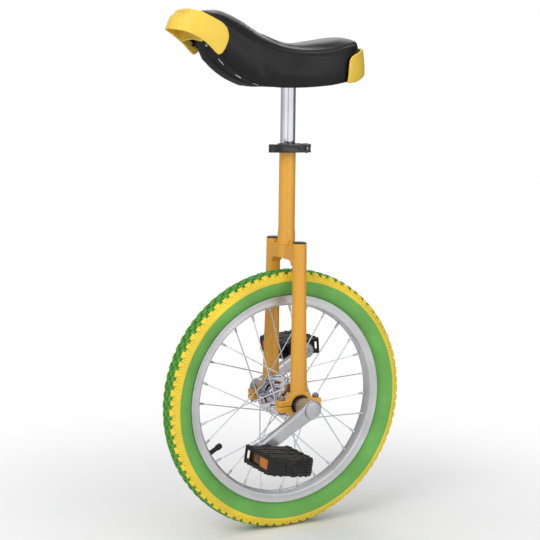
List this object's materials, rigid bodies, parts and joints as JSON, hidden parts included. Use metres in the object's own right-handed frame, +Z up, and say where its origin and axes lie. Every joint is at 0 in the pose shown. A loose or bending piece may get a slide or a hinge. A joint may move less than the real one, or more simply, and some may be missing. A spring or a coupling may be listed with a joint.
{
  "type": "unicycle",
  "caption": "Unicycle with a tall straight fork, a spoked wheel with a thick coloured tyre, direct cranks with platform pedals and a curved padded saddle with bumpers.",
  "frame": {"origin": "where the tyre rests on the ground, straight below the axle", "axes": "+X forwards, +Y to the rider's left along the axle, +Z up"},
  "size_m": [0.4538, 0.4374, 0.8925],
  "materials": {
    "frame_paint": "smooth gloss paint",
    "chrome": "polished",
    "aluminium": "satin",
    "steel": "machined",
    "black_metal": "black anodised",
    "black_plastic": "fine texture",
    "amber_plastic": "reflector",
    "vinyl": "grained",
    "foam": "open cell",
    "yellow_plastic": "semi gloss moulded",
    "green_tyre": "moulded rubber",
    "black_rubber": "smooth"
  },
  "bodies": {
    "frame": {"frame": "frame_paint", "seat_clamp": "black_metal", "clamp_skewer": "steel", "clamp_nut": "black_metal", "clamp_washer": "black_metal", "lever_pin": "steel", "left_leg_plug": "black_plastic", "left_bearing_cap": "frame_paint", "left_bearing_outer_ring": "steel", "left_front_cap_bolt": "steel", "left_front_cap_nut": "steel", "left_rear_cap_bolt": "steel", "left_rear_cap_nut": "steel", "right_leg_plug": "black_plastic", "right_bearing_cap": "frame_paint", "right_bearing_outer_ring": "steel", "right_front_cap_bolt": "steel", "right_front_cap_nut": "steel", "right_rear_cap_bolt": "steel", "right_rear_cap_nut": "steel"},
    "wheel": {"tyre": "green_tyre", "rim": "aluminium", "rim_tape": "yellow_plastic", "inner_tube": "black_rubber", "valve_cap": "black_plastic", "hub_shell": "chrome", "axle": "steel", "left_spokes": "steel", "right_spokes": "steel", "left_bearing_inner_ring": "steel", "left_crank": "aluminium", "left_crank_bolt": "steel", "left_crank_cap": "aluminium", "left_pedal_axle": "steel", "right_bearing_inner_ring": "steel", "right_crank": "aluminium", "right_crank_bolt": "steel", "right_crank_cap": "aluminium", "right_pedal_axle": "steel"},
    "left_pedal": {"left_pedal_body": "black_plastic", "left_pedal_front_reflector": "amber_plastic", "left_pedal_rear_reflector": "amber_plastic", "left_pedal_end_cap": "black_plastic"},
    "right_pedal": {"right_pedal_body": "black_plastic", "right_pedal_front_reflector": "amber_plastic", "right_pedal_rear_reflector": "amber_plastic", "right_pedal_end_cap": "black_plastic"},
    "seat": {"seat_post": "chrome", "saddle_base": "black_plastic", "saddle_foam": "foam", "saddle_cover": "vinyl", "front_bumper": "yellow_plastic", "rear_bumper": "yellow_plastic", "front_left_saddle_bolt": "steel", "rear_left_saddle_bolt": "steel", "front_right_saddle_bolt": "steel", "rear_right_saddle_bolt": "steel"},
    "lever": {"qr_lever": "black_metal"},
    "left_ball_cage": {"left_bearing_balls": "steel"},
    "right_ball_cage": {"right_bearing_balls": "steel"}
  },
  "joints": [
    {"name": "wheel_spin", "type": "hinge", "parent": "frame", "child": "wheel", "pos_m": [0, 0, 0.2269], "axis": [0, 1, 0], "continuous": true},
    {"name": "left_pedal_spin", "type": "hinge", "parent": "wheel", "child": "left_pedal", "pos_m": [0.09772, 0.16, 0.16819], "axis": [0, 1, 0], "continuous": true},
    {"name": "right_pedal_spin", "type": "hinge", "parent": "wheel", "child": "right_pedal", "pos_m": [-0.09772, -0.16, 0.28562], "axis": [0, 1, 0], "continuous": true},
    {"name": "seat_post_slide", "type": "slide", "parent": "frame", "child": "seat", "axis": [0, 0, 1], "range_m": [-0.075, 0.045]},
    {"name": "qr_lever_open", "type": "hinge", "parent": "frame", "child": "lever", "pos_m": [-0.0245, 0.0225, 0.6633], "axis": [0, 0, 1], "range_deg": [0, 150]},
    {"name": "left_ball_cage_spin", "type": "hinge", "parent": "frame", "child": "left_ball_cage", "pos_m": [0, 0.0517, 0.2269], "axis": [0, 1, 0], "continuous": true},
    {"name": "right_ball_cage_spin", "type": "hinge", "parent": "frame", "child": "right_ball_cage", "pos_m": [0, -0.0517, 0.2269], "axis": [0, 1, 0], "continuous": true}
  ],
  "couplings": [
    {"joint": "left_ball_cage_spin", "follows": "wheel_spin", "ratio": 0.4389},
    {"joint": "right_ball_cage_spin", "follows": "wheel_spin", "ratio": 0.4389}
  ]
}
